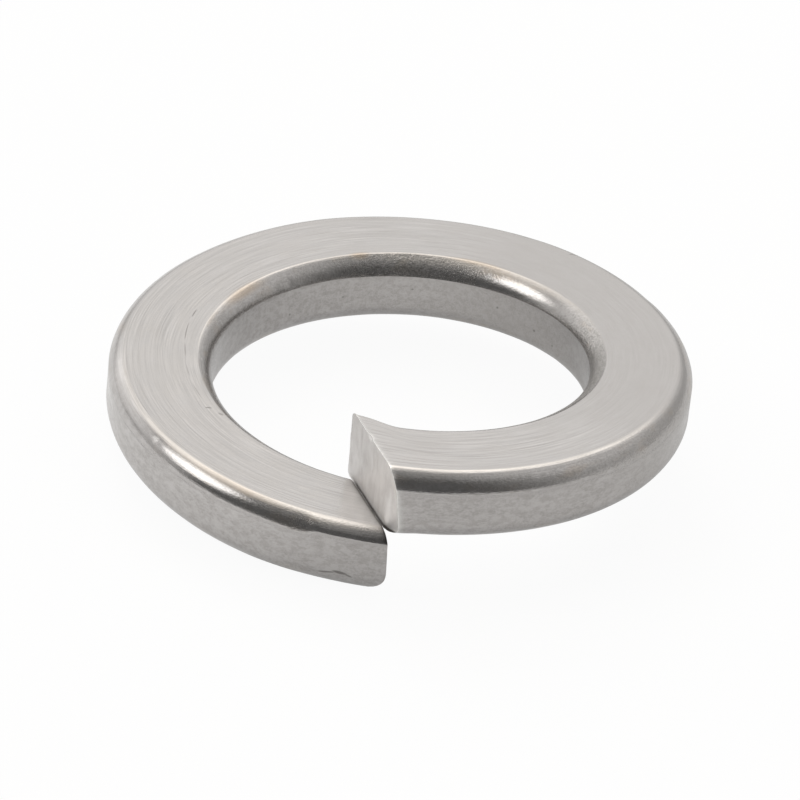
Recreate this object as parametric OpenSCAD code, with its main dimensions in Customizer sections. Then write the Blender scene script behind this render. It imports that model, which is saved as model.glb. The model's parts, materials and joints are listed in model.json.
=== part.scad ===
// Spring lock washer for a 20 mm bolt. One turn of square-cornered spring wire
// with rounded edges is wound to a left-hand helix and sheared through once, so
// its two ends stand one above the other and bite when the washer is flattened.
// The axis is Z, the slit faces -Y and the lowest point of the low end is at z = 0.

/* [Ring] */
// Diameter of the bore
bore_d = 21.0; // [17:0.1:26]
// Width of the wire, from the bore wall to the outer wall
wire_w = 5.8; // [4.6:0.1:7.2]
// Thickness of the wire, along the axis
wire_t = 4.0; // [3.2:0.1:5]
// Free height, from the lowest point of the low end to the top of the high end
free_h = 8.0; // [6.4:0.1:10]
// Radius of the wire's four long edges
edge_r = 0.95; // [0.3:0.05:1.2]

/* [Slit] */
// Gap between the two end faces, square to the cut
slit_gap = 0.15; // [0.05:0.01:1]
// Angle from the ring's radius to the cut, in degrees
cut_skew = 28; // [5:1:34]
// Radius that the shear rolled along the bottom edge of the low end
low_end_r = 0.7; // [0.1:0.05:0.9]

/* [Hidden] */

bore_r = bore_d / 2;
outer_r = bore_r + wire_w;
mid_r = bore_r + wire_w / 2;
// Every side of the wire keeps at least this much flat between its rounded edges
least_flat = 1;
edge = min(edge_r, (wire_t - least_flat) / 2, (wire_w - least_flat) / 2);
low_end = min(low_end_r, edge);

// Facets of the coil: steps round the turn, and steps in each rounded edge
turn_steps = 120;
arc_steps = 5;
arc_step = 90 / arc_steps;
// Facets of the round walls
wall_facets = 300;
// The coil stands this far proud of both walls, and the tube then trims it. The
// last facet of each edge runs straight on, so it meets the wall where it should.
stock = 0.06;
stock_run = stock / tan(arc_step / 2);
// The tube runs this far past both ends of the coil
overrun = 1;

// The coil is laid out with the slit square to X and turned into place at the
// end, so both end faces are true planes. This is the middle of the slit.
slit_x = -mid_r * sin(cut_skew);
high_x = slit_x + slit_gap / 2;
low_x = slit_x - slit_gap / 2;

// Azimuth at which the circle of radius r meets the plane at x, on the -Y side
function cut_azimuth(r, x) = -acos(x / r);

// How far the rolled edge of the low end draws back, h above the bottom face
function roll_back(h) =
    h < low_end ? low_end - sqrt(pow(low_end, 2) - pow(low_end - h, 2)) : 0;

// One rounded edge of the section as [radius, height] points, wall point last.
// side is 1 at the outer wall and -1 at the bore; up is 1 at the top face.
function edge_points(side, up) =
    let (wall = side > 0 ? outer_r : bore_r,
         round_r = wall - side * edge,
         round_z = up * (wire_t / 2 - edge))
    concat(
        [for (k = [0:arc_steps - 1])
            [round_r + side * edge * sin(k * arc_step),
             round_z + up * edge * cos(k * arc_step)]],
        [[wall + side * stock, round_z - up * stock_run]]);

function reversed(list) = [for (k = [len(list) - 1:-1:0]) list[k]];

// The section, from the outer wall over the top face and back by the bottom
section = concat(
    reversed(edge_points(1, 1)), edge_points(-1, 1),
    reversed(edge_points(-1, -1)), edge_points(1, -1));
points_round = len(section);

// Azimuths between which each section point sweeps, high end first
high_azimuth = [for (p = section) cut_azimuth(p[0], high_x)];
low_azimuth = [for (p = section)
    360 + cut_azimuth(p[0], low_x - roll_back(p[1] + wire_t / 2))];

// The top of the high end is at the flat's inner limit, and the lowest point of
// the low end is where the rolled edge starts, at the flat's outer limit.
top_azimuth = cut_azimuth(bore_r + edge, high_x);
base_azimuth = 360 + cut_azimuth(outer_r - edge, low_x - low_end);
rise = (free_h - wire_t) / (base_azimuth - top_azimuth);

function coil_point(p, azimuth) =
    [p[0] * cos(azimuth), p[0] * sin(azimuth),
     p[1] + wire_t / 2 + rise * (base_azimuth - azimuth)];

// The turn of wire before its walls are trimmed
module coil() {
    rings = [for (i = [0:turn_steps], j = [0:points_round - 1])
        let (share = i / turn_steps)
        coil_point(section[j], high_azimuth[j] * (1 - share) + low_azimuth[j] * share)];
    skin = [for (i = [0:turn_steps - 1], j = [0:points_round - 1], half = [0, 1])
        let (next = (j + 1) % points_round,
             a = i * points_round + j, b = i * points_round + next,
             c = a + points_round, d = b + points_round)
        half == 0 ? [a, b, d] : [a, d, c]];
    // An end face is a stack of level strips, which also follow the rolled edge
    strips = points_round / 2 - 1;
    function left(k) = (arc_steps - k + points_round) % points_round;
    function right(k) = arc_steps + 1 + k;
    high_face = [for (k = [0:strips - 1])
        [left(k), left(k + 1), right(k + 1), right(k)]];
    last = turn_steps * points_round;
    low_face = [for (k = [0:strips - 1])
        [last + left(k), last + right(k), last + right(k + 1), last + left(k + 1)]];
    polyhedron(points = rings, faces = concat(skin, high_face, low_face), convexity = 4);
}

// The true round walls: the outside of the ring and its bore
module tube() {
    difference() {
        translate([0, 0, -overrun])
            cylinder(r = outer_r, h = free_h + 2 * overrun, $fn = wall_facets);
        translate([0, 0, -2 * overrun])
            cylinder(r = bore_r, h = free_h + 4 * overrun, $fn = wall_facets);
    }
}

module lock_washer() {
    color("silver")
    rotate([0, 0, cut_skew])
    intersection() {
        coil();
        tube();
    }
}

lock_washer();
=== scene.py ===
"""Spring lock washer: the coil of drawn steel wire, its sheared ends, and a small studio."""
import json
import math

import bpy
import numpy as np
from mathutils import Matrix, Vector


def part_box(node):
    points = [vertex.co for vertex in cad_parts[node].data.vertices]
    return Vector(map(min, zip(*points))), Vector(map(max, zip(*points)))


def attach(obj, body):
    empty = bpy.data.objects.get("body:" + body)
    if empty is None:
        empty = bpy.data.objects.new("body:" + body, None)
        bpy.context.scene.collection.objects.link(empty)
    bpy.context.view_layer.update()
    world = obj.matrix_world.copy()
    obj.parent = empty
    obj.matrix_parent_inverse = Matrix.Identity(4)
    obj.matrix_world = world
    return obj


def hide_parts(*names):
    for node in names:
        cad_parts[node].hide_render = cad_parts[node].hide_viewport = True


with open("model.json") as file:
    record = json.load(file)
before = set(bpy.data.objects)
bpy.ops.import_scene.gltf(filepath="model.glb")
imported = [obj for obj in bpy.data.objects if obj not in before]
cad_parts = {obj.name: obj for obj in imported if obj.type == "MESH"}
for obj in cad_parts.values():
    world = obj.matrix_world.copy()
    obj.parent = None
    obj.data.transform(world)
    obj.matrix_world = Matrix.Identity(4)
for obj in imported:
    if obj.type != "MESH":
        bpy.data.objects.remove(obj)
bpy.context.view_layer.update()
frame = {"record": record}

# Sizes of the washer, in millimetres. The outside, the bore and the free height
# come from the frame, the rest are the wire's own.
MM = 0.001
low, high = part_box("lock_washer")
OUTER_R = (high[0] - low[0]) / 2 / MM
BORE_R = next(m for m in frame["record"]["mounts"] if m["name"] == "bolt_hole")["dims"]["r_mm"]
FREE_H = (high[2] - low[2]) / MM
WIRE_T = 4.0
EDGE_R = 0.95
SLIT_GAP = 0.04
CUT_SKEW = math.radians(28)
LOW_END_R = 1.6
MID_R = (OUTER_R + BORE_R) / 2
HALF_T = WIRE_T / 2
LENGTH = 2 * math.pi * MID_R
# Rise of the wire in one turn, as the photograph shows it
LEAD = 3.80
# The mesh stays this far inside the true size, which leaves room for its relief
SKIN = 0.02
# Small bevel between the skin and each end face
BEVEL = 0.02

# The four rounded edges, as the side of the wall (1 outside, -1 at the bore), the
# side of the face (1 top, -1 bottom) and the degrees that the edge turns through at
# once where it leaves the face and where it meets the wall. In between it is an arc.
EDGES = ((1, 1, 5, 14), (-1, 1, 22, 10), (-1, -1, 10, 2), (1, -1, 10, 2))
# Shares of the edge at which the crease at the face ends and the one at the wall
# starts, and how many samples the edge's curve is summed over
FACE_CREASE_END = 0.12
WALL_CREASE_START = 0.955
PROFILE_STEPS = 801

# The shear left the foot of the low end this far out, and the foot of the high end
# this far back at its outer corner. The high end's lean grows to that over the last
# part of the wire's width, from a share of it on. Before that it is the least share.
LOW_END_FLARE = 0.16
HIGH_END_LEAN = 0.48
LEAN_STARTS = 0.8
LEAN_LEAST = 0.1

# Mesh steps: round the turn, along each flat of the section, and into each end
# face. The rounded edges have their steps close together at both creases.
TURN_STEPS = 600
FACE_STEPS = 22
WALL_STEPS = 12
CAP_RINGS = 22
EDGE_STOPS = (0, 0.03, 0.06, 0.09, 0.13, 0.2, 0.3, 0.42, 0.54, 0.66, 0.78, 0.89, 0.955, 0.98)
# Place in the section of the crease between the bore's wall and its top edge
BORE_CREASE = 2 * len(EDGE_STOPS) + FACE_STEPS
# Steps near each end are closer together: over this length in mm, in this number,
# and crowded towards the end by this power
END_LENGTH = 1.4
END_STEPS = 28
END_CROWDING = 1.4
# The rings of an end face start this share inside the rim, and are crowded towards
# it by this power. The bevel is set off from about the wire's mean half width, in mm.
CAP_RIM = 0.02
CAP_CROWDING = 1.25
MEAN_HALF_WIDTH = 2.4

# Planes of the two end faces, square to X before the coil is turned into place
SLIT_X = -MID_R * math.sin(CUT_SKEW)
HIGH_X = SLIT_X
LOW_X = SLIT_X - SLIT_GAP


def cut_azimuth(r, x):
    """Azimuth at which the circle of radius r meets the plane at x, on the -Y side."""
    return -np.arccos(x / r)


# The lowest point of the low end is where its rolled edge starts
BASE_AZIMUTH = 2 * math.pi + cut_azimuth(OUTER_R - EDGE_R, LOW_X - LOW_END_R)
RISE = LEAD / (2 * math.pi)


def ramp_up(x, lo, hi):
    """0 up to lo, 1 from hi on, and soft in between."""
    t = np.clip((x - lo) / (hi - lo), 0, 1)
    return t * t * (3 - 2 * t)


def ramp_down(x, lo, hi):
    """1 up to lo, 0 from hi on, and soft in between."""
    return 1 - ramp_up(x, lo, hi)


def plateau(x, lo, full_from, full_to, hi):
    """1 over a stretch, with soft sides that are gone at lo and at hi."""
    return ramp_up(x, lo, full_from) * ramp_down(x, full_to, hi)


def hill(x, middle, width):
    """A soft hill one high at the middle, down to almost nothing two widths away."""
    return np.exp(-((x - middle) / width) ** 2)


# Each noise is the sum of this many plane waves, and between these two numbers of
# their lengths go into its scale
WAVES = 40
WAVE_SPREAD = (0.6, 1.6)


def wave_noise(rng, u, v, scale, stretch=1.0):
    """Seeded sum of plane waves, near 0 on average and near 1 at its hills."""
    total = np.zeros_like(u)
    for _ in range(WAVES):
        angle = rng.uniform(0, 2 * math.pi)
        size = rng.uniform(*WAVE_SPREAD) / scale
        phase = rng.uniform(0, 2 * math.pi)
        wave = u * math.cos(angle) / stretch + v * math.sin(angle)
        total += np.cos(2 * math.pi * size * wave + phase)
    return total / math.sqrt(2 * WAVES)


def from_0_to_1(values):
    """The values, shifted and scaled so that they run from 0 to 1."""
    return (values - values[0]) / (values[-1] - values[0])


def edge_profile(face_crease, wall_crease):
    """A rounded edge one by one in size: run from the face, drop below it, and the normal's angle."""
    t = np.linspace(0, 1, PROFILE_STEPS)
    face, wall = math.radians(face_crease), math.radians(wall_crease)
    angle = face * ramp_up(t, 0, FACE_CREASE_END) + (math.pi / 2 - face - wall) * t
    angle += wall * ramp_up(t, WALL_CREASE_START, 1)
    run = from_0_to_1(np.cumsum(np.cos(angle)))
    drop = from_0_to_1(np.cumsum(np.sin(angle)))
    return [np.interp(EDGE_STOPS, t, values) for values in (run, drop, angle)]


def section_points(runs, drops):
    """The section for each step of the turn: radius, height and the normal's two parts.

    runs and drops are the four rounded edges' sizes along the face and the wall,
    one column for each step, in the order of EDGES."""
    parts = []

    def edge(which, to_face):
        side, up, *creases = EDGES[which]
        wall = OUTER_R if side > 0 else BORE_R
        x, y, a = (v[::-1] if to_face else v for v in edge_profile(*creases))
        if to_face:
            # the first point is the crease at the wall, the last is one short of the face
            x, y, a = np.append(1, x[:-1]), np.append(1, y[:-1]), np.append(math.pi / 2, a[:-1])
        size_x, size_y = runs[which][:, None], drops[which][:, None]
        r = wall - side * size_x * (1 - x)
        z = up * (HALF_T - size_y * y)
        parts.append(np.stack(np.broadcast_arrays(r, z, side * np.sin(a), up * np.cos(a)), -1))

    def flat(start, end, normal_r, normal_z, steps):
        t = np.linspace(0, 1, steps + 1)[:-1]
        ends = [np.stack(np.broadcast_arrays(*e), -1)[:, None] for e in (start, end)]
        place_rz = ends[0] + (ends[1] - ends[0]) * t[None, :, None]
        normal = np.broadcast_to((normal_r, normal_z), place_rz.shape)
        parts.append(np.concatenate([place_rz, normal], -1))

    edge(0, True)
    flat((OUTER_R - runs[0], HALF_T), (BORE_R + runs[1], HALF_T), 0, 1, FACE_STEPS)
    edge(1, False)
    flat((BORE_R, HALF_T - drops[1]), (BORE_R, drops[2] - HALF_T), -1, 0, WALL_STEPS)
    edge(2, True)
    flat((BORE_R + runs[2], -HALF_T), (OUTER_R - runs[3], -HALF_T), 0, -1, FACE_STEPS)
    edge(3, False)
    flat((OUTER_R, drops[3] - HALF_T), (OUTER_R, HALF_T - drops[0]), 1, 0, WALL_STEPS)
    return np.moveaxis(np.concatenate(parts, 1), -1, 0)


# Changes in the size of each rounded edge along the wire. A row is the end that its
# distances run from, the shape of the change, how much it adds, and its distances,
# all in mm.
OUTER_TOP = (
    ("high", ramp_down, 0.10, 14, 26),
    ("high", plateau, -0.28, 28, 36, 46, 54),
)
# The die bit less deep down the wall in the last stretch of the low end
LOW_END_BITE = (
    ("low", ramp_down, -0.28, 3.15, 3.75),
    ("low", hill, 0.07, 4.1, 0.6),
)
BORE_TOP = (
    ("high", ramp_down, -0.55, 0.6, 3.2),
    ("high", hill, 0.13, 42, 14),
)
# The shear left the high end's foot nearly square
BORE_LOW = (
    ("high", ramp_down, -0.70, 0.4, 2.4),
)
OUTER_LOW = (
    ("high", ramp_down, -0.15, 0.2, 1.2),
    ("low", ramp_down, 0.20, 0.8, 6.0),
    ("high", hill, 0.30, 19, 8),
    ("high", hill, 0.30, 66, 8),
)


def along_wire(base, changes, from_high):
    """A value along the wire: its base, and what the rows of changes add to it."""
    distances = {"high": from_high, "low": LENGTH - from_high}
    total = base + 0 * from_high
    for end, shape, amount, *places in changes:
        total = total + amount * shape(distances[end], *places)
    return total


def edge_sizes(from_high):
    """Sizes of the four edges along the wire: along the face, and down the wall."""
    edges = (OUTER_TOP, BORE_TOP, BORE_LOW, OUTER_LOW)
    runs = [along_wire(EDGE_R, changes, from_high) for changes in edges]
    bitten = along_wire(EDGE_R, OUTER_TOP + LOW_END_BITE, from_high)
    return runs, [bitten, *runs[1:]]


def roll_back(height):
    """How far the rolled edge of the low end draws back, height above the bottom face."""
    h = np.clip(height, 0, LOW_END_R)
    return LOW_END_R - np.sqrt(LOW_END_R ** 2 - (LOW_END_R - h) ** 2)


def place(r, z, azimuth):
    """A point of the coil, turned so that the slit faces -Y."""
    turned = azimuth + CUT_SKEW
    return np.stack([r * np.cos(turned), r * np.sin(turned),
                     z + HALF_T + RISE * (BASE_AZIMUTH - azimuth)], -1)


# Relief of the drawn wire, in mm: gentle waves as their height, their scale and how
# far they are stretched along the wire, and shallow knocks from the tumbling drum,
# between their least and their most
WIRE_WAVES = ((0.006, 5.0, 2.0), (0.0022, 1.3, 1.6))
KNOCKS = 70
KNOCK_SIZE = (0.12, 0.34)
KNOCK_DEPTH = (0.008, 0.03)
KNOCK_STRETCH = (1, 1.8)


def wire_relief(rng, along, across):
    """Height of the drawn wire's gentle waves and knocks over its true surface, in mm."""
    relief = np.zeros(across.shape)
    for height, scale, stretch in WIRE_WAVES:
        relief += height * wave_noise(rng, along, across, scale, stretch)
    for _ in range(KNOCKS):
        middle_along = rng.uniform(0, LENGTH)
        middle_across = rng.uniform(0, across.max())
        size = rng.uniform(*KNOCK_SIZE)
        depth = rng.uniform(*KNOCK_DEPTH)
        stretch = rng.uniform(*KNOCK_STRETCH)
        far = ((along - middle_along) / stretch) ** 2 + (across - middle_across) ** 2
        relief -= depth * np.exp(-far / size ** 2)
    return relief - SKIN


# The shear raised a ragged lip round the high end: its height, how far it reaches
# along the wire and the scale of its waves, in mm, and then its mean, what the waves
# add and its most, as shares of the height
LIP_HEIGHT = 0.06
LIP_REACH = 0.10
LIP_WAVE = 0.7
LIP_MEAN, LIP_ADDED, LIP_MOST = 0.55, 0.45, 1.6


def lip_height(rng, along, across, from_high):
    """Height of the ragged lip round the high end, in mm."""
    ragged = LIP_MEAN + LIP_ADDED * wave_noise(rng, across, along, LIP_WAVE)
    return LIP_HEIGHT * np.clip(ragged, 0, LIP_MOST) * np.exp(-from_high / LIP_REACH)


# The high end's top edge is torn back, by waves of this depth and scale that reach
# this far down, and by a nick of this radius, half width and depth, in mm
TORN_SEED = 11
TORN_DEPTH, TORN_WAVE, TORN_REACH = 0.022, 0.55, 0.35
NICK_R, NICK_WIDTH, NICK_DEPTH = 12.8, 0.22, 0.11


def ragged_edge(r, z):
    """How far the high end's top edge is torn back, in mm."""
    rng = np.random.default_rng(TORN_SEED)
    torn = TORN_DEPTH * wave_noise(rng, r, z, TORN_WAVE) + NICK_DEPTH * hill(r, NICK_R, NICK_WIDTH)
    return torn * ramp_up(z, HALF_T - TORN_REACH, HALF_T)


# The sheared faces lie this far below their plane, in mm, give or take tears, which
# are stretched along the wire's thickness, and wider hollows
HIGH_FACE_SEED, LOW_FACE_SEED = 6, 7
SHEARED_DEPTH = 0.016
TEAR_DEPTH, TEAR_WAVE, TEAR_STRETCH = 0.010, 0.5, 3.0
HOLLOW_DEPTH, HOLLOW_WAVE = 0.012, 1.8


def sheared_relief(r, z, high_end):
    """Depth of a sheared face below its plane, in mm."""
    rng = np.random.default_rng(HIGH_FACE_SEED if high_end else LOW_FACE_SEED)
    tears = TEAR_DEPTH * wave_noise(rng, z, r, TEAR_WAVE, TEAR_STRETCH)
    hollows = HOLLOW_DEPTH * wave_noise(rng, r, z, HOLLOW_WAVE)
    return SHEARED_DEPTH + tears + hollows


def end_azimuth(r, z, high_end, back):
    """Azimuth of an end face at the given radius and height, drawn back by a depth."""
    below_top = (HALF_T - z) / WIRE_T
    if high_end:
        outward = (r - BORE_R) / (OUTER_R - BORE_R)
        leaning = LEAN_LEAST + (1 - LEAN_LEAST) * ramp_up(outward, LEAN_STARTS, 1)
        lean = HIGH_END_LEAN * below_top * leaning
        return cut_azimuth(r, HIGH_X + back + lean + ragged_edge(r, z))
    flare = LOW_END_FLARE * below_top
    return 2 * math.pi + cut_azimuth(r, LOW_X + flare - back - roll_back(z + HALF_T))


def turn_shares():
    """Shares of the turn at which the skin has its rings."""
    near = END_LENGTH / LENGTH
    start = near * np.linspace(0, 1, END_STEPS + 1)[:-1] ** END_CROWDING
    middle = np.linspace(near, 1 - near, TURN_STEPS - 2 * END_STEPS + 1)
    return np.concatenate([start, middle, 1 - start[::-1]])


def distance_across():
    """Distance across the wire, measured on the plain section so that the lines run true."""
    r, z, _, _ = section_points(*[[np.array([EDGE_R])] * 4] * 2)
    step = np.hypot(np.roll(r, -1, 1) - r, np.roll(z, -1, 1) - z)
    return np.cumsum(step, 1) - step


# Marks of the finish, which each point of the mesh carries: how far it is on a
# sheared face, on a rounded edge, specked, level, in painted shade, and bright from the shear
MARK_NAMES = ("sheared", "rounded", "specked", "level", "soot", "fresh")

# How strongly the rounded edges are specked along the wire, in rows as above, and
# the slopes of the bore's top edge between which it is specked
BORE_SPECKED = 1.3
BORE_SPECKED_CHANGES = (
    ("high", hill, -1.2, 35, 7),
    ("high", ramp_up, -0.9, 44, 52),
)
BORE_SPECKED_SLOPES = (0.05, 0.35, 0.8, 0.98)
OUTER_SPECKED_CHANGES = (
    ("high", ramp_down, 0.45, 12, 26),
    ("high", ramp_up, 0.50, 76.5, 80),
)
# Fresh metal shines this far along the high end's lip, in mm, and fades by this
# share with each ring of its end face
FRESH_REACH = 0.09
FRESH_FADE = 0.5

# Painted shade, a dark colour laid where the two ends touch. On the low end's top there are two layers,
# by strength and reach in mm, over the last share of the turn and where the surface
# faces up. It is at the high end's foot too, and both start some way from the bore.
TOP_PAINTED_SHADE = ((0.85, 0.10), (0.4, 0.5))
TOP_PAINTED_SHADE_FROM = 0.9
TOP_PAINTED_SHADE_SLOPE = 0.3
FOOT_PAINTED_SHADE_REACH = 0.07
PAINTED_SHADE_FROM_BORE = (0.3, 1.3)
# A little painted shade darkens the bore's crease: its strength, its mean, what its waves add and
# their scale in mm
CREASE_PAINTED_SHADE = 0.13
CREASE_MEAN, CREASE_ADDED, CREASE_WAVE = 0.6, 0.5, 2.0


def skin_painted_shade(rng, section, azimuth, share):
    """Painted shade on the low end's top beside the cut, and in the bore's crease."""
    r, _, _, normal_z = section
    to_cut = LOW_X - r * np.cos(azimuth)
    # Painted shade on the low end's top beside the cut, in two layers
    layers = sum(strength * np.exp(-to_cut / reach) for strength, reach in TOP_PAINTED_SHADE)
    on_top = (normal_z > TOP_PAINTED_SHADE_SLOPE) & (share > TOP_PAINTED_SHADE_FROM)
    soot = np.where(on_top, layers, 0) * ramp_up(r - BORE_R, *PAINTED_SHADE_FROM_BORE)
    # A little painted shade along the bore's crease
    crease = azimuth[:, BORE_CREASE] * MID_R
    level = CREASE_MEAN + CREASE_ADDED * wave_noise(rng, crease, 0 * crease, CREASE_WAVE)
    soot[:, BORE_CREASE] += CREASE_PAINTED_SHADE * np.clip(level, 0, 1)
    return soot


def foot_painted_shade(r, z):
    """Painted shade on the high end's face, where its foot touches the low end's top."""
    above_foot = np.maximum(z + HALF_T - (WIRE_T - LEAD), 0)
    return np.exp(-above_foot / FOOT_PAINTED_SHADE_REACH) * ramp_up(r - BORE_R, *PAINTED_SHADE_FROM_BORE)


def skin_marks(rng, section, azimuth, share):
    """The marks of the finish on the skin."""
    r, _, normal_r, normal_z = section
    from_high = share * LENGTH
    rounded = 4 * (normal_r * normal_z) ** 2
    at_bore = along_wire(BORE_SPECKED, BORE_SPECKED_CHANGES, from_high)
    outside = along_wire(0, OUTER_SPECKED_CHANGES, from_high)
    slope = plateau(normal_z, *BORE_SPECKED_SLOPES)
    return {
        "rounded": rounded,
        "specked": np.where(normal_r < 0, at_bore * slope, rounded * outside),
        "level": np.clip(normal_z ** 2, 0, 1),
        "soot": skin_painted_shade(rng, section, azimuth, share),
        "fresh": np.broadcast_to(np.exp(-from_high / FRESH_REACH), r.shape),
    }


WIRE_SEED = 20


def wire_skin(section, share):
    """The skin of the turn, ring by ring: its points, their places on the wire, and their marks."""
    rng = np.random.default_rng(WIRE_SEED)
    r, z, normal_r, normal_z = section
    # The last rings stand a hair back from the end faces, for the small bevel
    high_cut = end_azimuth(r[0], z[0], True, BEVEL)
    low_cut = end_azimuth(r[-1], z[-1], False, BEVEL)
    azimuth = high_cut * (1 - share) + low_cut * share
    along = azimuth * MID_R
    across = np.broadcast_to(distance_across(), r.shape)
    relief = wire_relief(rng, along, across)
    relief += lip_height(rng, along, across, share * LENGTH)
    points = place(r + normal_r * relief, z + normal_z * relief, azimuth)
    marks = skin_marks(rng, section, azimuth, share)
    flat_marks = {name: values.ravel() for name, values in marks.items()}
    return points.reshape(-1, 3), np.stack([along, across], -1).reshape(-1, 2), flat_marks


def end_ring(outline, step, high_end):
    """One ring of an end face, shrunk from the wire's outline towards its middle."""
    if step == 0:
        shrink = 1 - BEVEL / MEAN_HALF_WIDTH
    else:
        shrink = 1 - CAP_RIM - (1 - CAP_RIM) * (step / (CAP_RINGS + 1)) ** CAP_CROWDING
    r = MID_R + (outline[0] - MID_R) * shrink
    z = outline[1] * shrink
    depth = sheared_relief(r, z, high_end)
    points = place(r, z, end_azimuth(r, z, high_end, depth))
    marks = {"sheared": np.ones_like(r)}
    if high_end:
        marks["fresh"] = np.full_like(r, max(0.0, 1 - FRESH_FADE * step))
        # Painted shade on the face near its foot, where it touches the low end
        marks["soot"] = foot_painted_shade(r, z)
    return points, np.stack([r, z], -1), marks


def band(ring, next_ring):
    """The faces between two rings of points."""
    return np.stack([ring, np.roll(ring, -1), np.roll(next_ring, -1), next_ring], -1)


def mesh_of(blocks, faces):
    """A mesh from blocks of points, each with their places on the wire and their marks."""
    points, wire, marks = zip(*blocks)
    mesh = bpy.data.meshes.new("lock_washer_wire")
    mesh.from_pydata((np.concatenate(points) * MM).tolist(), [], np.concatenate(faces).tolist())
    corners = np.empty(len(mesh.loops), dtype=np.int32)
    mesh.loops.foreach_get("vertex_index", corners)
    layer = mesh.uv_layers.new(name="wire")
    layer.data.foreach_set("uv", np.concatenate(wire)[corners].astype(np.float32).ravel())
    for name in MARK_NAMES:
        values = [given.get(name, np.zeros(len(block))) for block, given in zip(points, marks)]
        values = np.concatenate(values).astype(np.float32)
        mesh.attributes.new(name, "FLOAT", "POINT").data.foreach_set("value", values)
    mesh.polygons.foreach_set("use_smooth", np.ones(len(mesh.polygons), dtype=bool))
    mesh.update()
    return mesh


def washer_mesh():
    """The washer as one closed mesh: the skin of the turn, then its two end faces."""
    share = turn_shares()
    section = section_points(*edge_sizes(share * LENGTH))
    count = section.shape[2]
    blocks = [wire_skin(section, share[:, None])]
    rings = np.arange((TURN_STEPS + 1) * count).reshape(-1, count)
    faces = [band(ring, next_ring) for ring, next_ring in zip(rings, rings[1:])]
    made = rings.size
    for end, high_end in ((0, True), (-1, False)):
        ring = rings[end]
        for step in range(CAP_RINGS + 2):
            blocks.append(end_ring(section[:2, end], step, high_end))
            next_ring = made + np.arange(count)
            made += count
            quads = band(ring, next_ring)
            faces.append(quads[:, ::-1] if high_end else quads)
            ring = next_ring
    return mesh_of(blocks, faces)


class Nodes:
    """Short calls for building a node tree."""

    def __init__(self, tree):
        self.tree = tree
        tree.nodes.clear()

    def add(self, kind, inputs=None, **settings):
        node = self.tree.nodes.new(kind)
        for key, value in settings.items():
            setattr(node, key, value)
        for key, value in (inputs or {}).items():
            self.set(node.inputs[key], value)
        return node

    def set(self, socket, value):
        if isinstance(value, bpy.types.NodeSocket):
            self.tree.links.new(value, socket)
        else:
            socket.default_value = value

    def math(self, operation, a, b=0.0, c=0.0):
        return self.add("ShaderNodeMath", {0: a, 1: b, 2: c}, operation=operation).outputs[0]

    def times(self, a, b):
        return self.math("MULTIPLY", a, b)

    def times_plus(self, a, b, c):
        return self.math("MULTIPLY_ADD", a, b, c)

    def mix(self, factor, a, b):
        """Mix of two colours."""
        return self.add("ShaderNodeMix", {0: factor, 6: a, 7: b}, data_type="RGBA").outputs[2]

    def mix_vectors(self, factor, a, b):
        return self.add("ShaderNodeMix", {0: factor, 4: a, 5: b}, data_type="VECTOR").outputs[1]

    def ramp(self, value, lo, hi, out_lo=0.0, out_hi=1.0):
        node = self.add("ShaderNodeMapRange", {0: value, 1: lo, 2: hi, 3: out_lo, 4: out_hi})
        node.interpolation_type = "SMOOTHSTEP"
        return node.outputs[0]

    def scaled(self, vector, factors):
        node = self.add("ShaderNodeVectorMath", {0: vector, 1: factors}, operation="MULTIPLY")
        return node.outputs[0]

    def noise(self, vector, detail, roughness):
        inputs = {"Vector": vector, "Scale": 1.0, "Detail": detail, "Roughness": roughness}
        return self.add("ShaderNodeTexNoise", inputs).outputs[0]

    def bump(self, height):
        """A normal from a height in mm."""
        inputs = {"Strength": 1.0, "Distance": MM, "Height": height}
        return self.add("ShaderNodeBump", inputs).outputs[0]


PALE_STEEL = (0.63, 0.61, 0.60, 1)
DARK_STEEL = (0.46, 0.445, 0.435, 1)
CLOUDED_STEEL = (0.46, 0.442, 0.428, 1)
SHEARED_STEEL = (1.0, 0.985, 0.97, 1)
SMEARED_STEEL = (0.88, 0.86, 0.845, 1)
TARNISH = (0.52, 0.42, 0.32, 1)
SPECK = (0.22, 0.21, 0.20, 1)
BLOT = (0.27, 0.27, 0.25, 1)
# Painted shade: the dark colour laid where the two ends touch and along the bore's crease
PAINTED_SHADE = (0.07, 0.062, 0.058, 1)
FRESH_STEEL = (0.97, 0.96, 0.94, 1)

# Noise patterns on the wire: how many to the millimetre along it and across it, and
# the noise's detail and roughness. The draw lines run along the wire, and the last
# two lie on the sheared faces, where they run along the wire's thickness.
PATTERNS = {
    "lines": (0.10, 4.6, 4.0, 0.62),
    "fine_lines": (0.30, 14, 2.0, 0.5),
    "grain": (6.5, 9.0, 2.0, 0.65),
    "blots": (2.6, 4.0, 3.0, 0.75),
    "mottle": (2.0, 2.6, 4.0, 0.7),
    "clouds": (0.5, 1.1, 3.0, 0.6),
    "patches": (0.12, 0.5, 2.0, 0.5),
    "stains": (0.35, 0.8, 3.0, 0.6),
    "smear": (4.0, 0.55, 4.0, 0.62),
    "blotch": (1.5, 0.7, 3.0, 0.6),
}

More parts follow.
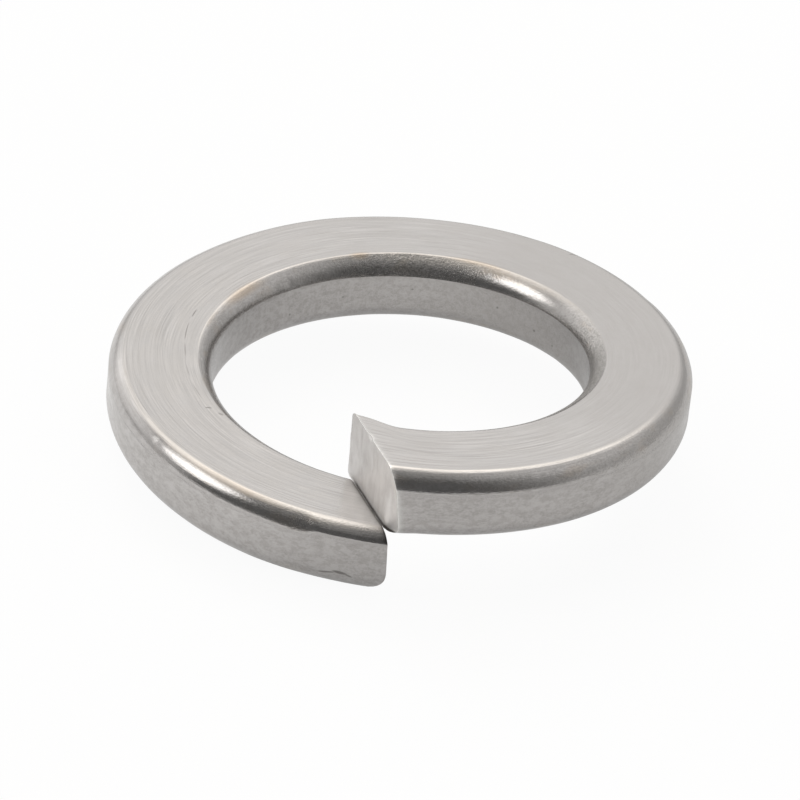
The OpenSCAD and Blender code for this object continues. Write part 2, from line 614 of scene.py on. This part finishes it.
# Scratches, nicks and dots, in mm along and across the wire: the middle, the turn
# from the wire's direction in degrees, half the length, half the width, and how dark
MARKS = (
    ("scratch", 41.6, 4.86, 2, 0.9, 0.030, 0.40),
    ("scratch", 39.4, 4.80, 2, 0.7, 0.030, 0.40),
    ("scratch", 37.0, 4.72, 4, 0.8, 0.035, 0.45),
    ("scratch", 34.9, 4.55, 4, 1.1, 0.040, 0.60),
    ("scratch", 32.8, 4.45, 2, 0.5, 0.045, 0.65),
    ("nick", 43.6, 4.90, 60, 0.22, 0.07, 0.7),
    ("nick", 44.5, 5.25, 20, 0.22, 0.09, 0.5),
    ("nick", 7.0, 1.43, 35, 0.25, 0.06, 0.6),
    ("dent", 55.2, 15.62, 10, 0.45, 0.06, 0.75),
    ("dent", 55.8, 15.72, -6, 0.35, 0.09, 0.9),
    ("dent", 56.2, 15.62, -22, 0.22, 0.05, 0.7),
    ("dot", 8.6, 7.77, 0, 0.10, 0.08, 0.7),
    ("dot", 5.1, 8.30, 0, 0.11, 0.09, 0.7),
    ("dot", 3.0, 8.56, 0, 0.10, 0.08, 0.6),
    ("dot", 20.3, 8.0, 0, 0.12, 0.07, 0.5),
    ("dot", 15.2, 7.6, 0, 0.09, 0.07, 0.6),
    ("dot", 24.6, 8.4, 0, 0.09, 0.07, 0.6),
)
# Heat stains, in the same terms, with how strong they are
STAINS = (
    ("orange", 28.7, 5.65, 0, 2.6, 0.42, 0.6),
    ("brown", 19.1, 5.52, 0, 0.9, 0.35, 0.6),
    ("straw", 11.0, 5.45, 0, 2.5, 0.25, 0.4),
    ("straw", 50.0, 1.15, 0, 3.4, 0.30, 0.25),
)
# Each spot starts to fade at a share of its half size and is gone a little beyond it
MARKS_FADE = 0.6
STAINS_FADE = 0.2
SPOT_END = 1.15

# Painted shade over a stretch of the wire at the back right, in mm along it: its two ends,
# how soft they are, how much weaker its lines are and how far its colour goes to the clouded steel's
BACK_RIGHT_SHADE_FROM, BACK_RIGHT_SHADE_TO, BACK_RIGHT_SHADE_SOFT = -18, 16, 8
BACK_RIGHT_SHADE_LINES = 0.65
BACK_RIGHT_SHADE_DARKENING = 0.45

# The share of the coarse draw lines, the share of pale steel, and how strongly the
# clouds, the mottle, the stains, specks and blots, and the sheared faces' smears and
# blotches show
COARSE_LINES = 0.4
PALE_SHARE = 0.6
CLOUDS = 0.30
MOTTLE = 0.80
EDGE_STAINS = 0.28
EDGE_SPECKS = 0.45
WALL_SPECKS = 0.12
EDGE_BLOTS = 0.36
SMEARS = 0.4
BLOTCHES = 0.7

# Roughness from clear to clouded steel, then what the grain, the sheared faces and
# the specked edges add to it
CLOUD_ROUGHNESS = (0.15, 0.22)
GRAIN_ROUGHNESS = (-0.02, 0.05)
SHEARED_ROUGHNESS = 0.2
SPECKED_ROUGHNESS = 0.10

# Depth of each pattern's bump, in mm: the lines from the weak to the strong patches,
# and the grain on plain steel and what the specked edges add to it
LINES_BUMP = (0.005, 0.010)
FINE_LINES_BUMP = 0.0045
MOTTLE_BUMP = 0.011
GRAIN_BUMP = 0.004
SPECKED_BUMP = 0.016
BLOTS_BUMP = 0.030
TEARS_BUMP = 0.009


def spots(n, wire, rows, fade):
    """Where any of the given spots lies, and how strongly."""
    total = 0.0
    for name, along, across, turn, half_length, half_width, strength in rows:
        place_at = {"Vector": wire, "Location": (along, across, 0),
                    "Rotation": (0, 0, math.radians(turn)), "Scale": (half_length, half_width, 1)}
        spot = n.add("ShaderNodeMapping", place_at, vector_type="TEXTURE", label=name).outputs[0]
        far = n.add("ShaderNodeVectorMath", {0: spot}, operation="LENGTH").outputs["Value"]
        total = n.math("MAXIMUM", total, n.ramp(far, fade, SPOT_END, strength, 0.0))
    return total


def finish_inputs(n):
    """The marks on the mesh, the place on the wire and the noise patterns, by name."""
    wire = n.add("ShaderNodeUVMap", uv_map="wire").outputs[0]
    look = {"wire": wire}
    for name in MARK_NAMES:
        look[name] = n.add("ShaderNodeAttribute", attribute_name=name).outputs["Fac"]
    for name, (along, across, detail, roughness) in PATTERNS.items():
        look[name] = n.noise(n.scaled(wire, (along, across, 1)), detail, roughness)
    look["steep"] = n.math("SUBTRACT", 1.0, look["level"])
    return look


# In each ramp below, the first two numbers are values of the noise or of the mark
def lined_colour(n, look):
    """Plain steel, with dark grime and oil in the draw lines of its flat faces, clouds, and painted
    shade at the back right.
    """
    fine = n.times(n.ramp(look["fine_lines"], 0.3, 0.7), 1 - COARSE_LINES)
    lined = n.times_plus(n.ramp(look["lines"], 0.3, 0.7), COARSE_LINES, fine)
    strength = n.ramp(look["patches"], 0.35, 0.65, 0.5, 1.3)
    strength = n.times(strength, n.ramp(look["level"], 0.2, 1.0, 0.15, 1.0))
    along = n.add("ShaderNodeSeparateXYZ", {0: look["wire"]}).outputs[0]
    # Painted shade: the stretch at the back right gets weaker lines and a darker colour
    back_right_shade = n.times(n.ramp(along, BACK_RIGHT_SHADE_FROM, BACK_RIGHT_SHADE_FROM + BACK_RIGHT_SHADE_SOFT),
                   n.ramp(along, BACK_RIGHT_SHADE_TO, BACK_RIGHT_SHADE_TO - BACK_RIGHT_SHADE_SOFT))
    strength = n.times(strength, n.times_plus(back_right_shade, -BACK_RIGHT_SHADE_LINES, 1.0))
    lined = n.times_plus(n.math("SUBTRACT", lined, 0.5), strength, PALE_SHARE)
    colour = n.mix(lined, DARK_STEEL, PALE_STEEL)
    # Painted shade darkens the colour over the stretch at the back right
    colour = n.mix(n.times(back_right_shade, BACK_RIGHT_SHADE_DARKENING), colour, CLOUDED_STEEL)
    return n.mix(n.ramp(look["clouds"], 0.3, 0.75, 0.0, CLOUDS), colour, CLOUDED_STEEL)


def specked_colour(n, look, colour):
    """The colour with the mottle, stains and specks of the walls and rounded edges, and the marks."""
    mottle = n.times(n.ramp(look["mottle"], 0.42, 0.62, 0.0, MOTTLE), look["steep"])
    stains = n.times(n.ramp(look["stains"], 0.52, 0.68, 0.0, EDGE_STAINS), look["rounded"])
    blots = n.times(n.ramp(look["blots"], 0.44, 0.60), n.times(look["specked"], EDGE_BLOTS))
    specks = n.times(n.ramp(look["grain"], 0.46, 0.60), n.ramp(look["clouds"], 0.32, 0.55))
    strength = n.times_plus(look["specked"], EDGE_SPECKS, n.times(look["steep"], WALL_SPECKS))
    colour = n.mix(mottle, colour, CLOUDED_STEEL)
    colour = n.mix(stains, colour, TARNISH)
    colour = n.mix(blots, colour, BLOT)
    colour = n.mix(n.times(specks, strength), colour, SPECK)
    colour = n.mix(spots(n, look["wire"], MARKS, MARKS_FADE), colour, SPECK)
    return n.mix(spots(n, look["wire"], STAINS, STAINS_FADE), colour, TARNISH)


def steel_colour(n, look):
    """The whole colour: the drawn wire, its smeared and torn sheared faces, fresh metal and painted
    shade.
    """
    colour = specked_colour(n, look, lined_colour(n, look))
    blotches = n.ramp(look["blotch"], 0.42, 0.66, 0.0, BLOTCHES)
    smeared = n.times_plus(n.ramp(look["smear"], 0.42, 0.70), SMEARS, blotches)
    colour = n.mix(look["sheared"], colour, n.mix(smeared, SHEARED_STEEL, SMEARED_STEEL))
    fresh = n.times(look["fresh"], n.ramp(look["grain"], 0.3, 0.6, 0.5, 1.0))
    colour = n.mix(fresh, colour, FRESH_STEEL)
    # Painted shade where the two ends touch and along the bore's crease
    return n.mix(look["soot"], colour, PAINTED_SHADE)


def steel_roughness(n, look):
    """Roughness, which the clouds, the grain, the shear and the specks change."""
    roughness = n.math("ADD", n.ramp(look["clouds"], 0.3, 0.7, *CLOUD_ROUGHNESS),
                       n.ramp(look["grain"], 0.35, 0.65, *GRAIN_ROUGHNESS))
    roughness = n.times_plus(look["sheared"], SHEARED_ROUGHNESS, roughness)
    specked = n.times(look["specked"], look["specked"])
    return n.times_plus(specked, SPECKED_ROUGHNESS, roughness)


def steel_normal(n, look):
    """Normal with the lines, the mottle and the grain of the wire, or the sheared face's tears."""
    on_flat = n.ramp(look["level"], 0.2, 1.0, 0.35, 1.0)
    lines = n.times(n.ramp(look["patches"], 0.3, 0.7, *LINES_BUMP), on_flat)
    height = n.times(look["lines"], lines)
    height = n.times_plus(look["fine_lines"], n.times(on_flat, FINE_LINES_BUMP), height)
    height = n.times_plus(look["mottle"], n.times(look["steep"], MOTTLE_BUMP), height)
    grain = n.times_plus(look["specked"], SPECKED_BUMP, GRAIN_BUMP)
    height = n.times_plus(look["grain"], grain, height)
    blots = n.times(n.times(look["specked"], look["specked"]), BLOTS_BUMP)
    height = n.times_plus(look["blots"], blots, height)
    tears = n.times(look["smear"], TEARS_BUMP)
    return n.mix_vectors(look["sheared"], n.bump(height), n.bump(tears))


def steel_material():
    """Satin spring steel, drawn, rounded, sheared and a little stained."""
    material = bpy.data.materials.new("satin_spring_steel")
    material.use_nodes = True
    n = Nodes(material.node_tree)
    look = finish_inputs(n)
    surface = {"Base Color": steel_colour(n, look), "Metallic": 1.0,
               "Roughness": steel_roughness(n, look), "Normal": steel_normal(n, look)}
    shader = n.add("ShaderNodeBsdfPrincipled", surface)
    n.add("ShaderNodeOutputMaterial", {0: shader.outputs[0]})
    return material


def build_washer():
    mesh = washer_mesh()
    mesh.materials.append(steel_material())
    washer = bpy.data.objects.new("lock_washer_drawn_wire", mesh)
    bpy.context.scene.collection.objects.link(washer)
    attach(washer, "root")
    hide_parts("lock_washer")


# The studio. Directions are azimuth from +X and elevation, in degrees.
def direction(azimuth, elevation):
    a, e = math.radians(azimuth), math.radians(elevation)
    return Vector((math.cos(e) * math.cos(a), math.cos(e) * math.sin(a), math.sin(e)))


# Size of the table in metres. Then the shares of its brightness that are its own, to
# the camera and to the steel, and how bright that own light is to the steel, in
# general and left of the washer. It changes between two places along X, in metres.
FLOOR_SIZE = 6.0
CAMERA_SHARE = 0.94
STEEL_SHARE = 0.60
STEEL_TONE = 0.65
STEEL_TONE_LEFT = 0.93
LEFT_STARTS, LEFT_FULL = -0.001, -0.014
WHITE = (1, 1, 1, 1)


def table_material():
    """White, in part by its own light, so that the shadow on it stays soft and pale."""
    material = bpy.data.materials.new("white_table")
    material.use_nodes = True
    n = Nodes(material.node_tree)
    path = n.add("ShaderNodeLightPath").outputs
    reflected = n.math("MAXIMUM", path["Is Glossy Ray"], path["Is Transmission Ray"])
    own = n.math("MAXIMUM", n.times(path["Is Camera Ray"], CAMERA_SHARE),
                 n.times(reflected, STEEL_SHARE))
    plain = n.add("ShaderNodeBsdfDiffuse", {"Color": WHITE})
    spot = n.add("ShaderNodeTexCoord").outputs["Object"]
    along_x = n.add("ShaderNodeSeparateXYZ", {0: spot}).outputs[0]
    steel_tone = n.ramp(along_x, LEFT_FULL, LEFT_STARTS, STEEL_TONE_LEFT, STEEL_TONE)
    tone = n.times_plus(reflected, n.math("SUBTRACT", steel_tone, 1.0), 1.0)
    glow = n.add("ShaderNodeEmission", {"Color": WHITE, "Strength": tone})
    mixed = n.add("ShaderNodeMixShader", {0: own, 1: plain.outputs[0], 2: glow.outputs[0]})
    n.add("ShaderNodeOutputMaterial", {0: mixed.outputs[0]})
    return material


def build_floor():
    """The table that the washer lies on."""
    mesh = bpy.data.meshes.new("table")
    half = FLOOR_SIZE / 2
    corners = [(-half, -half, 0), (half, -half, 0), (half, half, 0), (-half, half, 0)]
    mesh.from_pydata(corners, [], [(0, 1, 2, 3)])
    mesh.materials.append(table_material())
    table = bpy.data.objects.new("table", mesh)
    bpy.context.scene.collection.objects.link(table)


# Light of the tent: its level, then soft patches as azimuth, elevation, the angles
# from their middle at which they start and stop fading, strength and colour
TENT_LEVEL = 0.34
WARM = (1.0, 0.93, 0.82)
PLAIN = (1.0, 0.99, 0.975)
TENT_PATCHES = (
    ("back wall", 100, 42, 20, 46, 0.50, PLAIN),
    ("back horizon", 100, 0, 20, 60, 0.17, PLAIN),
    ("right side", 15, 25, 20, 60, 0.22, PLAIN),
    ("right ceiling", 30, 50, 12, 36, 0.16, PLAIN),
    ("dark room", -62, 12, 30, 62, -0.21, PLAIN),
    ("dark room left", -124, 20, 16, 38, -0.23, PLAIN),
    ("left gap", -158, 58, 6, 20, -0.18, PLAIN),
    ("left panel", 190, 39, 8, 20, 2.40, PLAIN),
    ("left horizon", -155, -3, 12, 32, -0.17, PLAIN),
    ("left back", 146, 20, 8, 26, 0.65, PLAIN),
    ("left low", 180, 10, 6, 22, 0.30, PLAIN),
    ("left ceiling", 150, 66, 12, 28, 0.56, WARM),
    ("back right strip", 72, 47, 6, 18, 0.62, WARM),
    ("back left strip", 122, 46, 8, 20, 0.32, WARM),
    ("back ceiling", 95, 60, 8, 22, 0.60, WARM),
)
DARKEST = 0.13


def tent_light(n):
    """The tent's colour in every direction: its level, and the patches added to it."""
    toward = n.add("ShaderNodeTexCoord").outputs["Generated"]
    light = tuple(TENT_LEVEL * c for c in PLAIN)
    for name, azimuth, elevation, inner, outer, strength, colour in TENT_PATCHES:
        to_patch = {0: toward, 1: direction(azimuth, elevation)}
        near = n.add("ShaderNodeVectorMath", to_patch, operation="DOT_PRODUCT").outputs["Value"]
        edge, full = math.cos(math.radians(outer)), math.cos(math.radians(inner))
        share = n.ramp(near, edge, full, 0.0, strength)
        light = n.add("ShaderNodeVectorMath", {0: colour, 1: share, 2: light},
                      operation="MULTIPLY_ADD", label=name).outputs[0]
    limited = {0: light, 1: (DARKEST,) * 3}
    return n.add("ShaderNodeVectorMath", limited, operation="MAXIMUM").outputs[0]


def build_world():
    """Soft studio: a pale tent, dark on the camera's side, with bright panels at the left and behind."""
    world = bpy.data.worlds.new("studio")
    bpy.context.scene.world = world
    world.use_nodes = True
    n = Nodes(world.node_tree)
    light = tent_light(n)
    path = n.add("ShaderNodeLightPath").outputs
    seen = n.math("MAXIMUM", path["Is Camera Ray"], path["Is Transmission Ray"])
    sky = n.add("ShaderNodeBackground", {"Color": n.mix(seen, light, WHITE), "Strength": 1.0})
    n.add("ShaderNodeOutputWorld", {0: sky.outputs[0]})


# The lamp's place in degrees and metres, its side in metres and its power in watts
LAMP_AZIMUTH, LAMP_ELEVATION = 110, 36
LAMP_DISTANCE = 0.9
LAMP_SIZE = 0.35
LAMP_WATTS = 2.0


def build_lamp():
    """Soft panel behind the washer that lights the table. The steel sees the tent in its place."""
    data = bpy.data.lights.new("back_panel", "AREA")
    data.shape = "SQUARE"
    data.size = LAMP_SIZE
    data.energy = LAMP_WATTS
    lamp = bpy.data.objects.new("back_panel", data)
    outward = direction(LAMP_AZIMUTH, LAMP_ELEVATION)
    lamp.location = outward * LAMP_DISTANCE
    lamp.rotation_euler = outward.to_track_quat("Z", "Y").to_euler()
    lamp.visible_glossy = False
    bpy.context.scene.collection.objects.link(lamp)


# The camera, fitted to the photograph: distance in mm, angles in degrees, the focal
# length in pixels of an 800 pixel frame, and how far the ring's middle lies from the
# frame's, in the same pixels. The sensor is in mm, and the clip distances in metres.
IMAGE = 800
CAMERA_DISTANCE = 325.0
CAMERA_AZIMUTH = -85.82
CAMERA_ELEVATION = 30.3
CAMERA_ROLL = -5.89
FOCAL_PIXELS = 5810
AIM_X, AIM_Y = -2.7, -19.4
SENSOR = 36.0
CLIP_START, CLIP_END = 0.01, 20


def build_camera():
    """The photograph's camera."""
    data = bpy.data.cameras.new("photo_camera")
    camera = bpy.data.objects.new("photo_camera", data)
    bpy.context.scene.collection.objects.link(camera)
    bpy.context.scene.camera = camera
    data.sensor_width = SENSOR
    data.lens = FOCAL_PIXELS / IMAGE * SENSOR
    data.clip_start = CLIP_START
    data.clip_end = CLIP_END
    outward = direction(CAMERA_AZIMUTH, CAMERA_ELEVATION)
    middle = Vector((0, 0, FREE_H / 2 * MM))
    ahead = -outward
    right = ahead.cross(Vector((0, 0, 1))).normalized()
    down = ahead.cross(right)
    ahead = (ahead - right * (AIM_X / FOCAL_PIXELS) - down * (AIM_Y / FOCAL_PIXELS)).normalized()
    right = (right - ahead * right.dot(ahead)).normalized()
    down = ahead.cross(right)
    roll = math.radians(CAMERA_ROLL)
    tilted = right * math.cos(roll) + down * math.sin(roll)
    up = -(down * math.cos(roll) - right * math.sin(roll))
    turn = Matrix((tilted, up, -ahead)).transposed()
    camera.matrix_world = Matrix.Translation(middle + outward * CAMERA_DISTANCE * MM) @ turn.to_4x4()


bpy.context.scene.view_settings.view_transform = "Standard"
build_camera()
build_world()
build_lamp()
build_floor()
build_washer()
